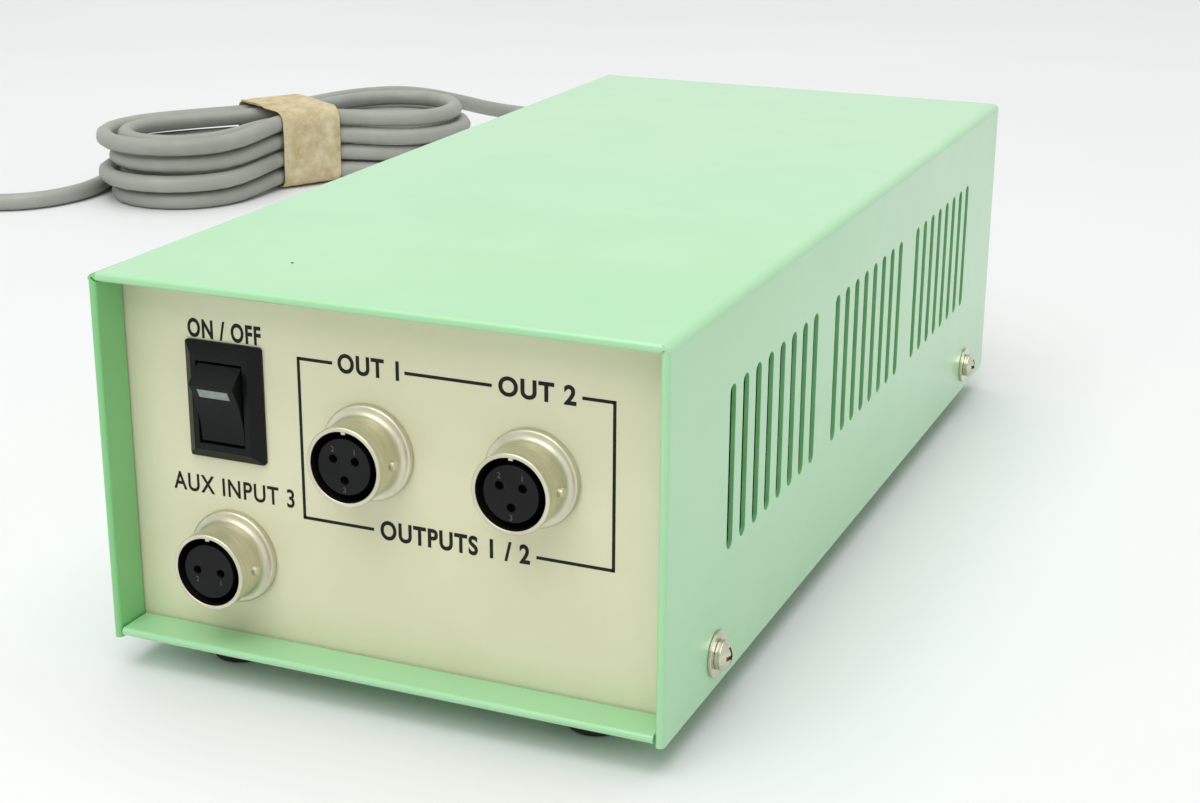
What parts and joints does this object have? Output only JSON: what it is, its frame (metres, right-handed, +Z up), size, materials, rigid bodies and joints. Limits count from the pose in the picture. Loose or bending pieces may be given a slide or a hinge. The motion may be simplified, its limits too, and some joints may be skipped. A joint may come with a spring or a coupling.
{
  "type": "mains power and control box",
  "caption": "Sheet-metal mains power box for a motor-driven micromanipulator, with rocker switch, round bayonet sockets, a fuse holder and a bundled mains cord.",
  "frame": {"origin": "on the bench surface, under the middle of the case, cord not counted", "axes": "+X to the right as seen from the front, +Y from the front panel to the rear panel, +Z up"},
  "size_m": [0.468, 0.5293, 0.075],
  "materials": {
    "green_paint": "pale green satin paint on folded steel sheet",
    "cream_paint": "cream satin paint on aluminium plate",
    "plated_steel": "zinc-plated steel",
    "nickel": "satin nickel plate",
    "brass": "plain brass, slightly dulled",
    "lamination_steel": "varnished laminations, dark",
    "black_aluminium": "black anodised",
    "black_rubber": "matt moulded rubber",
    "black_plastic": "fine-textured moulding",
    "pale_plastic": "smooth moulding",
    "green_plastic": "smooth moulding",
    "blue_sleeve": "shrunk sleeve",
    "board_green": "solder resist on glass laminate",
    "resistor_body": "dipped body",
    "winding_tape": "polyester tape over the winding",
    "glass": "clear",
    "grey_print": "pale grey insert",
    "grey_cord": "grey vinyl jacket",
    "tan_tape": "crinkled paper tape"
  },
  "bodies": {
    "case": {"top_cover": "green_paint", "bottom_tray": "green_paint", "front_panel": "cream_paint", "rear_panel": "cream_paint", "panel_screws": "plated_steel", "side_screws": "plated_steel", "side_washers": "plated_steel", "clinch_nuts": "plated_steel", "rubber_feet": "black_rubber", "foot_screws": "plated_steel", "foot_nuts": "plated_steel", "switch_housing": "black_plastic", "switch_terminals": "brass", "socket_shell_1": "nickel", "socket_shell_2": "nickel", "socket_shell_3": "nickel", "socket_insert_1": "black_plastic", "socket_insert_2": "black_plastic", "socket_insert_3": "black_plastic", "socket_contacts_1": "brass", "socket_contacts_2": "brass", "socket_contacts_3": "brass", "socket_nuts": "nickel", "fuse_holder": "black_plastic", "fuse_nut": "black_plastic", "transformer_core": "lamination_steel", "transformer_bobbin": "pale_plastic", "transformer_winding": "winding_tape", "transformer_strap": "plated_steel", "transformer_screws": "plated_steel", "circuit_board": "board_green", "board_standoffs": "brass", "board_screws": "plated_steel", "filter_capacitors": "blue_sleeve", "relay": "pale_plastic", "heatsink": "black_aluminium", "power_transistor": "black_plastic", "terminal_block": "green_plastic", "resistors": "resistor_body", "cord_bush": "black_plastic", "cord_lead": "grey_cord", "cord_hank": "grey_cord", "cord_tie": "tan_tape", "cord_tail": "grey_cord", "plug_body": "grey_cord", "plug_blades": "brass"},
    "rocker": {"switch_rocker": "black_plastic", "rocker_mark": "grey_print"},
    "fuse_carrier": {"fuse_clip": "plated_steel", "fuse_glass": "glass", "fuse_ends": "nickel"},
    "fuse_knob": {"fuse_cap": "black_plastic"}
  },
  "joints": [
    {"name": "rocker_tilt", "type": "hinge", "parent": "case", "child": "rocker", "pos_m": [-0.032, -0.1053, 0.052], "axis": [-1, 0, 0], "range_deg": [0, 33]},
    {"name": "fuse_pull", "type": "slide", "parent": "case", "child": "fuse_carrier", "axis": [0, 1, 0], "range_m": [0, 0.036]},
    {"name": "cap_turn", "type": "hinge", "parent": "fuse_carrier", "child": "fuse_knob", "pos_m": [-0.03, 0.112, 0.054], "axis": [0, -1, 0], "range_deg": [0, 60]}
  ]
}
